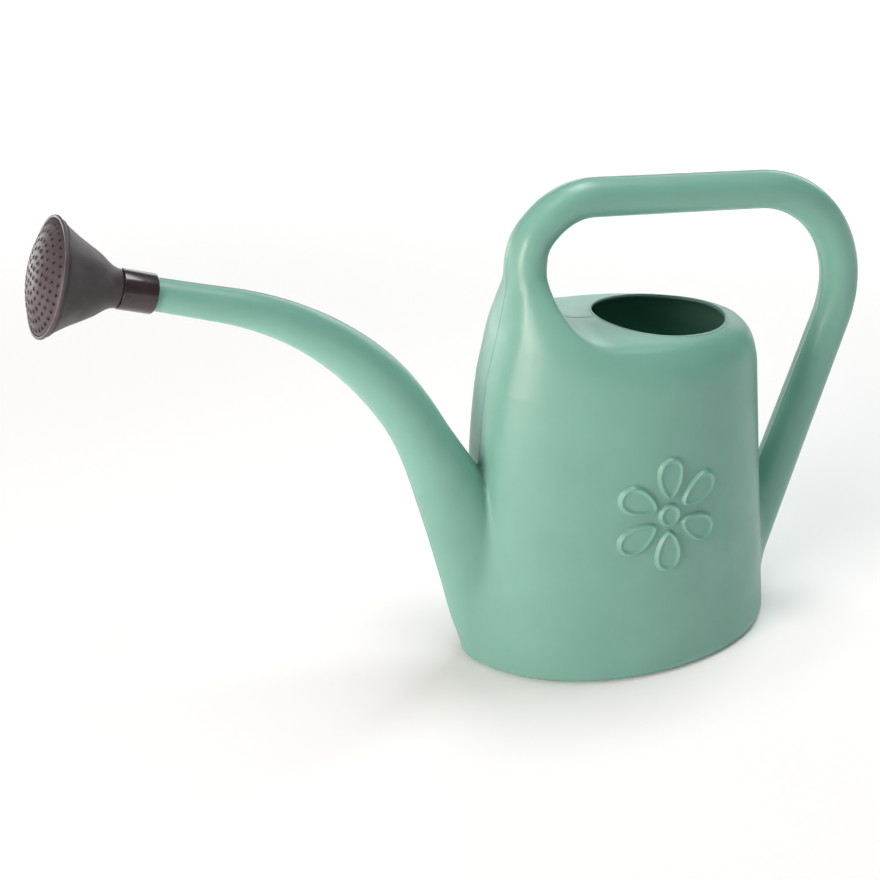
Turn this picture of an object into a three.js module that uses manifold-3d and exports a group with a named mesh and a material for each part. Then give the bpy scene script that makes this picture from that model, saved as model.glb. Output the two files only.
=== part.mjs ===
// Watering can: a blow-moulded can with its handle and spout, and a push-on rose.
// Millimetres. +Z is up, +X points from the can to the back of the handle, the spout
// points to -X, and the mould's parting plane is Y = 0. The origin is the centre of the base.

import * as THREE from "three";
import { mergeVertices } from "three/addons/utils/BufferGeometryUtils.js";
import Module from "manifold-3d";

const wasm = await Module();
wasm.setup();

// ---------------------------------------------------------------- driving sizes

const slit = 0.3; // between two pieces that touch
const wall = 2; // of the blow moulding

const base = { halfLength: 110, halfWidth: 71.5, edgeRadius: 6 };

const deck = {
  frontDrawIn: 11, // of the front wall at the deck, from its place at the base
  frontCurve: 5, // how late the front wall draws in on its way up
  backDrawIn: 24.5,
  sideDrawIn: 11.3,
  height: 229, // above the base, at x = 0
  slope: degrees(4.9), // down towards the back
  crownRadius: 300, // across the can
  shoulderRadius: 26,
};

const mouth = { centre: 20, halfLength: 44.8, halfWidth: 37.3 };

const blossom = {
  centre: -4, // along the side of the can
  height: 117.5, // above the base
  petals: 6,
  petalLength: 29.5,
  petalWidth: 25,
  eyeRadius: 8.5,
  petalStart: 10.5, // from the centre to the near end of a petal
  raised: 1.5,
};

const handle = {
  rootSetIn: 16, // of the back leg's lower end, from the back wall
  rootHeight: 11,
  legLean: degrees(71.9), // of the back leg, from level
  legRadius: 12.8,
  rootRadius: 15,
  backBend: 76,
  gripRise: 78, // of the grip's centreline above the deck, at x = 0
  gripSlope: degrees(5.3), // down towards the back
  gripRadius: 12.2,
  frontBend: 43,
  frontLean: degrees(84.6), // of the front leg, from level
  frontSetIn: 17.7, // of the front leg's centreline from the front wall, at the deck
  frontDrop: { radius: 420, turn: degrees(8), straight: 40 }, // on into the body
};

// The front leg spreads as it comes down into the body: its half sizes along and
// across the can at distances below the deck.
const frontLegSpread = [
  { below: -80, along: 12.2, across: 12.2 },
  { below: -55, along: 12.6, across: 15.5 },
  { below: -40, along: 12.4, across: 21 },
  { below: -25, along: 13, across: 28 },
  { below: -10, along: 16.5, across: 34 },
  { below: 5, along: 19, across: 36 },
  { below: 30, along: 20, across: 34 },
  { below: 100, along: 20, across: 28 },
];

const spout = {
  rootSetIn: 31.6, // of the lower end, from the front wall
  rootHeight: 6,
  rootLean: degrees(108), // from the way to the back of the can, at the lower end
  lowBend: { radius: 1277, turn: degrees(8.2) },
  neckBend: { radius: 203.2, turn: degrees(45.6) },
  neckStraight: 43.3, // from the bend to the collar
  endRadius: 9.5, // at the collar
  tipRadius: 8.6, // of the spigot inside the collar
  endStep: 0.6, // the length over which it steps down to the spigot
};

// The spout's half sizes in and across the parting plane, at distances back from the collar.
const spoutSwell = [
  { back: -20, along: spout.tipRadius, across: spout.tipRadius },
  { back: 0, along: spout.tipRadius, across: spout.tipRadius },
  { back: spout.endStep, along: spout.endRadius, across: spout.endRadius },
  { back: 34, along: 10.1, across: 10.1 },
  { back: 69, along: 11.4, across: 11.4 },
  { back: 104, along: 13.1, across: 13.1 },
  { back: 154, along: 15.7, across: 15.6 },
  { back: 204, along: 17.2, across: 16.8 },
  { back: 264, along: 24.4, across: 17.5 },
  { back: 314, along: 31, across: 18.5 },
  { back: 354, along: 35.5, across: 20.5 },
  { back: 404, along: 34.5, across: 23 },
];

const rose = {
  collarLength: 20,
  collarWall: 2.6,
  tipInsert: 11, // of the spout in the collar
  neckInsert: 6.5, // of the cone's neck in the collar
  coneLength: 40.8, // from the collar to the rim
  rimRadius: 33.9,
  rimDepth: 4,
  wall: 1.8,
  faceWall: 1.6,
  faceRise: 8, // of the domed face
  skirtDepth: 3,
  fit: slit,
};

const spray = { rings: 6, ringPitch: 4.9, holesInFirstRing: 6, holeRadius: 0.8 };

// Where the moulding is cut into nodes.
const cuts = {
  endClearance: 3, // of the cuts to the spout and the back leg, past the base
  deckBelow: 32, // of the cut between body and deck, below the deck
  deckAbove: 8, // of the cut between deck and front leg, above the deck
};

const sides = { body: 48, tube: 16, rose: 36, petal: 12, hole: 5 };

// ---------------------------------------------------------------- small helpers

function degrees(angle) {
  return (angle * Math.PI) / 180;
}

function mix(low, high, share) {
  return low + (high - low) * share;
}

/** Reads a list of stations at a place, in a straight line from each to the next. */
function between(stations, key, place) {
  let last = stations[0];
  for (const next of stations) {
    if (place <= next[key]) {
      const span = next[key] - last[key];
      const share = span > 0 ? (place - last[key]) / span : 0;
      return { along: mix(last.along, next.along, share), across: mix(last.across, next.across, share) };
    }
    last = next;
  }
  return last;
}

/** Turns a closed geometry into a solid. */
function solidOf(geometry) {
  const bare = geometry.clone();
  bare.deleteAttribute("normal");
  bare.deleteAttribute("uv");
  const merged = mergeVertices(bare, 1e-4);
  return new wasm.Manifold(
    new wasm.Mesh({
      numProp: 3,
      vertProperties: new Float32Array(merged.attributes.position.array),
      triVerts: new Uint32Array(merged.index.array),
    }),
  );
}

/** Turns a solid back into a geometry with flat faces. */
function geometryOf(solid) {
  const mesh = solid.getMesh();
  const geometry = new THREE.BufferGeometry();
  geometry.setAttribute("position", new THREE.BufferAttribute(new Float32Array(mesh.vertProperties), 3));
  geometry.setIndex(new THREE.BufferAttribute(new Uint32Array(mesh.triVerts), 1));
  const flat = geometry.toNonIndexed();
  flat.computeVertexNormals();
  return flat;
}

function joined(solids) {
  return solids.reduce((whole, next) => whole.add(next));
}

/** Moves every vertex of a geometry to the place that a function gives for it. */
function reshaped(geometry, place) {
  const position = geometry.attributes.position;
  const vertex = new THREE.Vector3();
  for (let i = 0; i < position.count; i += 1) {
    vertex.fromBufferAttribute(position, i);
    const moved = place(vertex.x, vertex.y, vertex.z);
    position.setXYZ(i, moved.x, moved.y, moved.z);
  }
  return geometry;
}

/** A block that fills the side of a plane that the direction points to. */
function halfSpace(point, direction) {
  const size = 4 * (base.halfLength + deck.height);
  const block = new THREE.BoxGeometry(size, size, size);
  block.translate(0, 0, size / 2);
  const turn = new THREE.Quaternion().setFromUnitVectors(
    new THREE.Vector3(0, 0, 1),
    direction.clone().normalize(),
  );
  block.applyQuaternion(turn);
  block.translate(point.x, point.y, point.z);
  return solidOf(block);
}

// ---------------------------------------------------------------- paths in the parting plane

/** A path of straight runs and bends in the plane Y = 0. */
class BentPath {
  constructor(x, z, heading) {
    this.runs = [];
    this.end = { x, z, heading };
    this.length = 0;
  }

  /** Adds a run of a length that turns by an angle, to the left if it is positive. */
  run(length, turn = 0) {
    this.runs.push({ from: this.length, length, turn, start: this.end });
    this.end = this.step(this.end, length, turn);
    this.length += length;
    return this;
  }

  bend(radius, turn) {
    return this.run(radius * Math.abs(turn), turn);
  }

  step(start, length, turn) {
    const heading = start.heading + turn;
    if (Math.abs(turn) < 1e-9) {
      return {
        x: start.x + length * Math.cos(start.heading),
        z: start.z + length * Math.sin(start.heading),
        heading,
      };
    }
    const radius = length / turn;
    return {
      x: start.x + radius * (Math.sin(heading) - Math.sin(start.heading)),
      z: start.z - radius * (Math.cos(heading) - Math.cos(start.heading)),
      heading,
    };
  }

  /**
   * Adds the straight run after which a bend of this radius and turn ends on the line
   * that passes through a point along the new heading, and then adds the bend.
   */
  straightThenBendOnto(radius, turn, point) {
    const after = this.step(this.end, radius * Math.abs(turn), turn);
    const normal = { x: -Math.sin(after.heading), z: Math.cos(after.heading) };
    const miss = normal.x * (point.x - after.x) + normal.z * (point.z - after.z);
    const gain = normal.x * Math.cos(this.end.heading) + normal.z * Math.sin(this.end.heading);
    return this.run(miss / gain).bend(radius, turn);
  }

  at(distance) {
    const reached = this.runs.filter((run) => run.from <= distance + 1e-9);
    const run = reached[reached.length - 1];
    const share = (distance - run.from) / run.length;
    return this.step(run.start, distance - run.from, run.turn * share);
  }

  /** Distances along the path, close together in its bends. */
  steps(inStraight, inBend) {
    const places = [0];
    for (const run of this.runs) {
      const count = Math.max(1, Math.ceil(Math.max(run.length / inStraight, Math.abs(run.turn) / inBend)));
      for (let i = 1; i <= count; i += 1) places.push(run.from + (run.length * i) / count);
    }
    return places;
  }
}

/** A solid tube along a path, with oval sections whose half sizes a function gives. */
function tubeAlong(path, inset, halfSizes) {
  const places = path.steps(30, degrees(9));
  const tube = new THREE.CylinderGeometry(1, 1, places.length - 1, sides.tube, places.length - 1);
  return solidOf(
    reshaped(tube, (left, along, side) => {
      const index = Math.round(along + (places.length - 1) / 2);
      const distance = places[index];
      const spot = path.at(distance);
      const size = halfSizes(distance);
      const out = left * (size.along - inset);
      return {
        x: spot.x - out * Math.sin(spot.heading),
        y: side * (size.across - inset),
        z: spot.z + out * Math.cos(spot.heading),
      };
    }),
  );
}

// ---------------------------------------------------------------- the tank

/** The body's half sizes and centre at a height. */
function bodyAt(height) {
  const share = height / deck.height;
  const front = -base.halfLength + deck.frontDrawIn * share ** deck.frontCurve;
  const back = base.halfLength - deck.backDrawIn * share;
  return {
    halfLength: (back - front) / 2,
    halfWidth: base.halfWidth - deck.sideDrawIn * share,
    centre: (front + back) / 2,
  };
}

/** The height of the deck over a place. */
function deckHeightAt(x, y) {
  return deck.height - Math.tan(deck.slope) * x - (y * y) / (2 * deck.crownRadius);
}

/** The outline of half the body across the can, from the axis at the base to the axis at the top. */
function bodyProfile(inset) {
  const edge = base.edgeRadius - inset;
  const shoulder = deck.shoulderRadius - inset;
  const bottom = inset;
  const top = deck.height - inset;
  const widthAt = (height) => bodyAt(height).halfWidth - inset;
  const points = [new THREE.Vector2(0, bottom)];
  for (const turn of [0, 30, 60, 90]) {
    const height = bottom + edge * (1 - Math.cos(degrees(turn)));
    points.push(new THREE.Vector2(widthAt(height) - edge * (1 - Math.sin(degrees(turn))), height));
  }
  const straightTop = top - shoulder;
  for (const share of [0.25, 0.5, 0.75]) {
    const height = mix(bottom + edge, straightTop, share);
    points.push(new THREE.Vector2(widthAt(height), height));
  }
  for (const turn of [0, 18, 36, 54, 72, 90]) {
    const height = straightTop + shoulder * Math.sin(degrees(turn));
    points.push(new THREE.Vector2(widthAt(height) - shoulder * (1 - Math.cos(degrees(turn))), height));
  }
  for (const share of [0.66, 0.33, 0]) points.push(new THREE.Vector2(share * (widthAt(top) - shoulder), top));
  return points;
}

/** How far a circle of this radius stretches lengthwise, so that the shoulder is as deep all round. */
function lengthwise(radius, body) {
  const depth = deck.shoulderRadius;
  const flat = body.halfWidth - depth;
  if (radius <= flat) return (body.halfLength - depth) / flat;
  return (radius + body.halfLength - body.halfWidth) / radius;
}

/** The body turned as a round form, then pressed to its oval and its sloping, crowned deck. */
function bodySolid(inset) {
  const round = new THREE.LatheGeometry(bodyProfile(inset), sides.body);
  return solidOf(
    reshaped(round, (across, height, along) => {
      const body = bodyAt(height);
      const x = body.centre + along * lengthwise(Math.hypot(along, across), body);
      const y = across;
      const drop = deck.height - deckHeightAt(x, y);
      return { x, y, z: height - (drop * Math.max(0, height - inset)) / deck.height };
    }),
  );
}

/** The column that cuts the filler mouth through the deck, square to it. */
function mouthCut() {
  const reach = 2 * deck.shoulderRadius;
  const column = new THREE.CylinderGeometry(1, 1, 2 * reach, sides.body);
  column.rotateX(Math.PI / 2);
  column.scale(mouth.halfLength, mouth.halfWidth, 1);
  column.rotateY(deck.slope);
  column.translate(mouth.centre, 0, deckHeightAt(mouth.centre, 0));
  return solidOf(column);
}

// ---------------------------------------------------------------- the blossom on the side

/** Bends a flat shape onto the near side of the body and gives it a thickness there. */
function raisedOnSide(shape) {
  const plate = new THREE.ExtrudeGeometry(shape, { depth: wall / 2 + blossom.raised, bevelEnabled: false });
  return solidOf(
    reshaped(plate, (along, up, out) => {
      const height = blossom.height + up;
      const x = blossom.centre + along;
      const body = bodyAt(height);
      const share = (x - body.centre) / body.halfLength;
      const surface = body.halfWidth * Math.sqrt(1 - share * share);
      return { x, y: -(surface - wall / 2 + out), z: height };
    }),
  );
}

function petalShape(turn) {
  const centre = blossom.petalStart + blossom.petalLength / 2;
  const outline = [];
  for (let i = 0; i < sides.petal; i += 1) {
    const angle = (2 * Math.PI * i) / sides.petal;
    const along = centre + (blossom.petalLength / 2) * Math.cos(angle);
    // A petal is broader towards its tip.
    const width = (blossom.petalWidth / 2) * (0.78 + 0.22 * Math.cos(angle));
    outline.push(new THREE.Vector2(along, width * Math.sin(angle)).rotateAround(new THREE.Vector2(), turn));
  }
  return new THREE.Shape(outline);
}

function blossomSolids() {
  const eye = new THREE.Shape().absarc(0, 0, blossom.eyeRadius, 0, 2 * Math.PI, false);
  const eyeOutline = new THREE.Shape(eye.getSpacedPoints(sides.petal).slice(0, sides.petal));
  const solids = [raisedOnSide(eyeOutline)];
  for (let i = 0; i < blossom.petals; i += 1) {
    const turn = degrees(90) + (2 * Math.PI * i) / blossom.petals;
    solids.push(raisedOnSide(petalShape(turn)));
  }
  return solids;
}

// ---------------------------------------------------------------- handle and spout

/** The handle's centreline from the back wall over the grip and down into the body. */
function handlePath() {
  const back = bodyAt(handle.rootHeight);
  const front = bodyAt(deck.height);
  const start = { x: back.centre + back.halfLength - handle.rootSetIn, z: handle.rootHeight };
  const grip = { x: 0, z: deck.height + handle.gripRise };
  const leg = { x: front.centre - front.halfLength + handle.frontSetIn, z: deck.height };
  const gripHeading = Math.PI - handle.gripSlope;
  const frontHeading = Math.PI + handle.frontLean;
  const path = new BentPath(start.x, start.z, handle.legLean)
    .straightThenBendOnto(handle.backBend, gripHeading - handle.legLean, grip)
    .straightThenBendOnto(handle.frontBend, frontHeading - gripHeading, leg);
  path.run((path.end.z - deck.height) / Math.sin(handle.frontLean));
  return path.bend(handle.frontDrop.radius, handle.frontDrop.turn).run(handle.frontDrop.straight);
}

/** The back leg, the bends, the grip and the front leg as one tube. */
function handleSolid(inset) {
  const path = handlePath();
  const [backLeg, backBend, , , frontLeg] = path.runs;
  return tubeAlong(path, inset, (distance) => {
    if (distance >= frontLeg.from) return between(frontLegSpread, "below", deck.height - path.at(distance).z);
    const tapered = mix(handle.rootRadius, handle.legRadius, Math.min(1, distance / backLeg.length));
    const share = THREE.MathUtils.clamp((distance - backBend.from) / backBend.length, 0, 1);
    const size = mix(tapered, handle.gripRadius, share);
    return { along: size, across: size };
  });
}

/** The spout's centreline from inside the body to the point where the collar starts. */
function spoutPath() {
  const front = bodyAt(spout.rootHeight);
  const start = { x: front.centre - front.halfLength + spout.rootSetIn, z: spout.rootHeight };
  return new BentPath(start.x, start.z, spout.rootLean)
    .bend(spout.lowBend.radius, spout.lowBend.turn)
    .bend(spout.neckBend.radius, spout.neckBend.turn)
    .run(spout.neckStraight - spout.endStep)
    .run(spout.endStep);
}

/** The spout as a tube that runs on into the collar, and past its own end by an overrun. */
function spoutSolid(inset, overrun) {
  const path = spoutPath();
  const collarStart = path.length;
  path.run(rose.tipInsert + overrun);
  return tubeAlong(path, inset, (distance) => between(spoutSwell, "back", collarStart - distance));
}

// ---------------------------------------------------------------- the moulding and its nodes

/** The whole blow moulding: one wall around one hollow, open at the mouth and the spout's end. */
function moulding() {
  const up = new THREE.Vector3(0, 0, 1);
  const outside = joined([bodySolid(0), handleSolid(0), spoutSolid(0, 0)])
    .intersect(halfSpace(new THREE.Vector3(0, 0, 0), up));
  const hollow = joined([bodySolid(wall), handleSolid(wall), spoutSolid(wall, 5)])
    .intersect(halfSpace(new THREE.Vector3(0, 0, wall), up));
  return joined([outside, ...blossomSolids()]).subtract(hollow).subtract(mouthCut());
}

/** Cuts a solid at a plane, with half a slit on each side: the part ahead of it and the part behind. */
function cutAt(solid, point, direction) {
  const ahead = direction.clone().normalize();
  const behind = ahead.clone().negate();
  return {
    ahead: solid.intersect(halfSpace(point.clone().addScaledVector(ahead, slit / 2), ahead)),
    behind: solid.intersect(halfSpace(point.clone().addScaledVector(behind, slit / 2), behind)),
  };
}

/** A cut square to the deck's fall, at a height above the deck. */
function cutAlongDeck(solid, above) {
  const up = new THREE.Vector3(Math.sin(deck.slope), 0, Math.cos(deck.slope));
  return cutAt(solid, new THREE.Vector3(0, 0, deck.height + above), up);
}

/** The moulding in pieces that are simple enough for collision: node name to solid. */
function mouldingNodes() {
  const endX = base.halfLength + cuts.endClearance;
  const forward = new THREE.Vector3(-1, 0, 0);
  const backward = new THREE.Vector3(1, 0, 0);
  const spoutCut = cutAt(moulding(), new THREE.Vector3(-endX, 0, 0), forward);
  const legCut = cutAt(spoutCut.behind, new THREE.Vector3(endX, 0, 0), backward);
  const handleCut = cutAlongDeck(legCut.behind, cuts.deckAbove);
  const deckCut = cutAlongDeck(handleCut.behind, -cuts.deckBelow);
  const frontBendStart = handlePath().runs[3].start.x;
  const gripCut = cutAt(handleCut.ahead, new THREE.Vector3(frontBendStart, 0, 0), forward);
  return {
    tank_body: deckCut.behind,
    tank_deck: deckCut.ahead,
    spout: spoutCut.ahead,
    handle_front_leg: gripCut.ahead,
    handle_grip: gripCut.behind,
    handle_back_leg: legCut.ahead,
  };
}

// ---------------------------------------------------------------- the rose

/** A ring or cup turned about the spout's axis, from [radius, distance from the collar's start]. */
function turned(outline) {
  const points = outline.map(([radius, along]) => new THREE.Vector2(radius, along));
  if (outline[0][0] > 0) points.push(points[0].clone());
  return new THREE.LatheGeometry(points, sides.rose);
}

const collarBore = spout.tipRadius + rose.fit;
const collarRadius = collarBore + rose.collarWall;
const neckRadius = collarBore - rose.fit;
const coneStart = rose.collarLength + slit;
const rimStart = rose.collarLength + rose.coneLength - rose.rimDepth;
const rimEnd = rose.collarLength + rose.coneLength;

/** The sleeve that grips the spout at one end and holds the cone's neck in the other. */
function collar() {
  return turned([
    [collarBore, 0],
    [collarRadius, 0],
    [collarRadius, rose.collarLength],
    [collarBore, rose.collarLength],
  ]);
}

/** The cone with its neck, its bell and the rim that the face sits in. */
function cone() {
  const neckEnd = rose.collarLength - rose.neckInsert;
  const bore = neckRadius - rose.wall;
  const waist = collarRadius - 0.8;
  return turned([
    [bore, neckEnd],
    [neckRadius, neckEnd],
    [neckRadius, coneStart],
    [waist, coneStart],
    [mix(waist, rose.rimRadius, 0.31), mix(coneStart, rimStart, 0.36)],
    [mix(waist, rose.rimRadius, 0.62), mix(coneStart, rimStart, 0.72)],
    [rose.rimRadius, rimStart],
    [rose.rimRadius, rimEnd],
    [rose.rimRadius - rose.wall, rimEnd],
    [rose.rimRadius - rose.wall, rimStart],
    [mix(waist, rose.rimRadius, 0.62) - rose.wall, mix(coneStart, rimStart, 0.72) + rose.wall / 2],
    [mix(waist, rose.rimRadius, 0.31) - rose.wall, mix(coneStart, rimStart, 0.36) + rose.wall / 2],
    [bore, coneStart + rose.wall],
  ]);
}

/** The domed, perforated face with the skirt that plugs into the rim. */
function face() {
  const radius = rose.rimRadius - rose.wall - rose.fit;
  const domeRadius = (radius * radius + rose.faceRise * rose.faceRise) / (2 * rose.faceRise);
  const riseAt = (r) => Math.sqrt(domeRadius * domeRadius - r * r) - (domeRadius - rose.faceRise);
  const shares = [0, 0.25, 0.5, 0.75, 1];
  const inner = radius - rose.faceWall;
  const under = shares.map((share) => [share * inner, rimEnd + riseAt(share * inner) - rose.faceWall]);
  const top = shares.map((share) => [share * radius, rimEnd + riseAt(share * radius)]).reverse();
  const outline = [...under, [inner, rimEnd - rose.skirtDepth], [radius, rimEnd - rose.skirtDepth], ...top];
  const points = outline.map(([r, along]) => new THREE.Vector2(r, along));
  const disc = solidOf(new THREE.LatheGeometry(points, sides.rose));
  return geometryOf(disc.subtract(joined(sprayHoles())));
}

function sprayHoles() {
  const depth = 3 * (rose.faceRise + rose.faceWall);
  const holes = [];
  for (let ring = 0; ring <= spray.rings; ring += 1) {
    const count = Math.max(1, spray.holesInFirstRing * ring);
    for (let i = 0; i < count; i += 1) {
      const turn = (2 * Math.PI * i) / count;
      const hole = new THREE.CylinderGeometry(spray.holeRadius, spray.holeRadius, depth, sides.hole);
      const out = ring * spray.ringPitch;
      hole.translate(out * Math.cos(turn), rimEnd + rose.faceRise / 2, out * Math.sin(turn));
      holes.push(solidOf(hole));
    }
  }
  return holes;
}

// ---------------------------------------------------------------- materials and the scene

function canPlastic() {
  return new THREE.MeshStandardMaterial({ color: 0x86b8a8, roughness: 0.45, metalness: 0 });
}

function rosePlastic() {
  return new THREE.MeshStandardMaterial({ color: 0x3f3638, roughness: 0.5, metalness: 0 });
}

function collarPlastic() {
  return new THREE.MeshStandardMaterial({ color: 0x31292b, roughness: 0.3, metalness: 0 });
}

function named(name, geometry, material) {
  const mesh = new THREE.Mesh(geometry, material);
  mesh.name = name;
  return mesh;
}

/** A group whose +Y runs out of the spout from the point where the collar starts. */
function roseGroup() {
  const { x, z, heading } = spoutPath().end;
  const group = new THREE.Group();
  const out = new THREE.Vector3(Math.cos(heading), 0, Math.sin(heading));
  group.position.set(x, 0, z);
  group.quaternion.setFromUnitVectors(new THREE.Vector3(0, 1, 0), out);
  group.add(named("rose_collar", collar(), collarPlastic()));
  group.add(named("rose_cone", cone(), rosePlastic()));
  group.add(named("rose_face", face(), rosePlastic()));
  return group;
}

const wateringCan = new THREE.Group();
for (const [name, solid] of Object.entries(mouldingNodes())) {
  wateringCan.add(named(name, geometryOf(solid), canPlastic()));
}
wateringCan.add(roseGroup());

export default wateringCan;
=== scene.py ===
"""A blow-moulded watering can with a push-on spray rose.

Sizes in the classes are millimetres. Meshes are built in millimetres too and brought
to metres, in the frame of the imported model, when they are handed over.
"""

import logging
import math
from dataclasses import dataclass, field
from enum import Enum
from typing import Any, Callable

import bmesh
import bpy
import numpy as np
from mathutils import Matrix, Vector

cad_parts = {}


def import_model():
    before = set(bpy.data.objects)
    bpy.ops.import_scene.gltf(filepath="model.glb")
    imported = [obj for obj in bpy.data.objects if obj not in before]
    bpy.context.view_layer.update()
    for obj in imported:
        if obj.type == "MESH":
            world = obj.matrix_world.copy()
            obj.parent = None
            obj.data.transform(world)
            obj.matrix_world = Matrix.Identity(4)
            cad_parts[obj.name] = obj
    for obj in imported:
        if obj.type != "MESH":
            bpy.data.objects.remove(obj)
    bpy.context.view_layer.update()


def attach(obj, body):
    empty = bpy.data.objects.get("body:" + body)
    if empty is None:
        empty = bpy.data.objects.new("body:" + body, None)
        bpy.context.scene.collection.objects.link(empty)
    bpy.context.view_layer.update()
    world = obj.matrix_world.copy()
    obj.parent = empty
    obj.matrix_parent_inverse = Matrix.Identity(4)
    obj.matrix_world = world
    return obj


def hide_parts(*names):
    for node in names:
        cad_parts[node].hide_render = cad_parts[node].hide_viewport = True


Array = np.ndarray
Field = Callable[[Array], Array]
Point = tuple[float, float, float]

MM = 0.001
LONGEST_MOVE = 2.5
LEAST_STEEP = 0.05
CHEQUER_ROUNDS = 12
NUDGE = 1e-3
log = logging.getLogger("watering_can")


# ---------------------------------------------------------------- forms as distance fields


def ease(x: Array, low: float, high: float) -> Array:
    """Runs smoothly from 0 at low to 1 at high."""
    t = np.clip((x - low) / (high - low), 0.0, 1.0)
    return t * t * (3.0 - 2.0 * t)


def mix(a: Array, b: Array, share: Array) -> Array:
    """The value a given share of the way from a to b."""
    return a + (b - a) * share


def smooth_min(a: Array, b: Array, width: Array) -> Array:
    """The smaller of two fields, with a rounded valley of that width where they meet."""
    near = np.clip(width - np.abs(a - b), 0.0, None) / width
    return np.minimum(a, b) - near * near * width * 0.25


def smooth_max(a: Array, b: Array, width: Array) -> Array:
    """The larger of two fields, with a rounded edge of that width where they meet."""
    return -smooth_min(-a, -b, width)


def ellipse_distance(u: Array, v: Array, a: Array, b: Array, past: Array = 0.0) -> Array:
    """About the distance to an ellipse, which closes as a dome past its end.

    Args:
        u, v: place across the ellipse.
        a, b: half axes along u and v.
        past: distance beyond the end of the tube or loft.

    Returns:
        A field that is negative inside.
    """
    c = np.minimum(a, b)
    q = np.sqrt((u / a) ** 2 + (v / b) ** 2 + (past / c) ** 2) + 1e-9
    steepness = np.sqrt((u / a**2) ** 2 + (v / b**2) ** 2 + (past / c**2) ** 2) / q + 1e-9
    return (q - 1.0) / steepness


@dataclass(frozen=True)
class Sizes:
    """A size known at a few places, and smooth without overshoot in between."""

    places: tuple[float, ...]
    values: tuple[float, ...]

    def at(self, place: Array) -> Array:
        """The size at each place.

        Args:
            place: places along whatever the size changes on.

        Returns:
            The size at each of them.
        """
        xs, ys = np.array(self.places, float), np.array(self.values, float)
        rise = np.diff(ys) / np.diff(xs)
        slope = np.zeros_like(ys)
        slope[0], slope[-1] = rise[0], rise[-1]
        same = rise[:-1] * rise[1:] > 0
        both = np.where(same, rise[:-1] + rise[1:], 1.0)
        slope[1:-1] = np.where(same, 2 * rise[:-1] * rise[1:] / both, 0.0)
        x = np.clip(place, xs[0], xs[-1])
        k = np.clip(np.searchsorted(xs, x, side="right") - 1, 0, len(xs) - 2)
        h = xs[k + 1] - xs[k]
        t = (x - xs[k]) / h
        return (
            (2 * t**3 - 3 * t**2 + 1) * ys[k]
            + (t**3 - 2 * t**2 + t) * h * slope[k]
            + (3 * t**2 - 2 * t**3) * ys[k + 1]
            + (t**3 - t**2) * h * slope[k + 1]
        )


@dataclass(frozen=True)
class Run:
    """One straight or one bend of a path in the middle plane."""

    x: float
    z: float
    heading: float
    length: float
    turn: float
    begins: float

    def end(self) -> tuple[float, float, float]:
        """Where the run ends, and its heading there.

        Returns:
            The end's x and z, and the heading in radians.
        """
        heading = self.heading + self.turn
        if not self.turn:
            return (
                self.x + self.length * math.cos(heading),
                self.z + self.length * math.sin(heading),
                heading,
            )
        radius = self.length / self.turn
        return (
            self.x + radius * (math.sin(heading) - math.sin(self.heading)),
            self.z - radius * (math.cos(heading) - math.cos(self.heading)),
            heading,
        )

    def nearest(self, x: Array, z: Array) -> tuple[Array, Array, Array]:
        """How far along the run each point lies, how far to its left, and how far past its end.

        Args:
            x, z: the points, in the middle plane.

        Returns:
            The three distances of each point.
        """
        if not self.turn:
            dx, dz = x - self.x, z - self.z
            c, s = math.cos(self.heading), math.sin(self.heading)
            along = dx * c + dz * s
            near = np.clip(along, 0.0, self.length)
            return near, dz * c - dx * s, np.abs(along - near)
        radius = self.length / self.turn
        cx = self.x - radius * math.sin(self.heading)
        cz = self.z + radius * math.cos(self.heading)
        middle = math.atan2(self.z - cz, self.x - cx) + self.turn / 2
        half = abs(self.turn) / 2
        angle = (np.arctan2(z - cz, x - cx) - middle + math.pi) % (2 * math.pi) - math.pi
        held = np.clip(angle, -half, half)
        near = (held * math.copysign(1.0, self.turn) + half) * abs(radius)
        heading = self.heading + near / radius
        ox = x - cx - abs(radius) * np.cos(middle + held)
        oz = z - cz - abs(radius) * np.sin(middle + held)
        past = np.abs(ox * np.cos(heading) + oz * np.sin(heading))
        side = oz * np.cos(heading) - ox * np.sin(heading)
        return near, side, np.where(np.abs(angle) <= half, 0.0, past)


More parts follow.
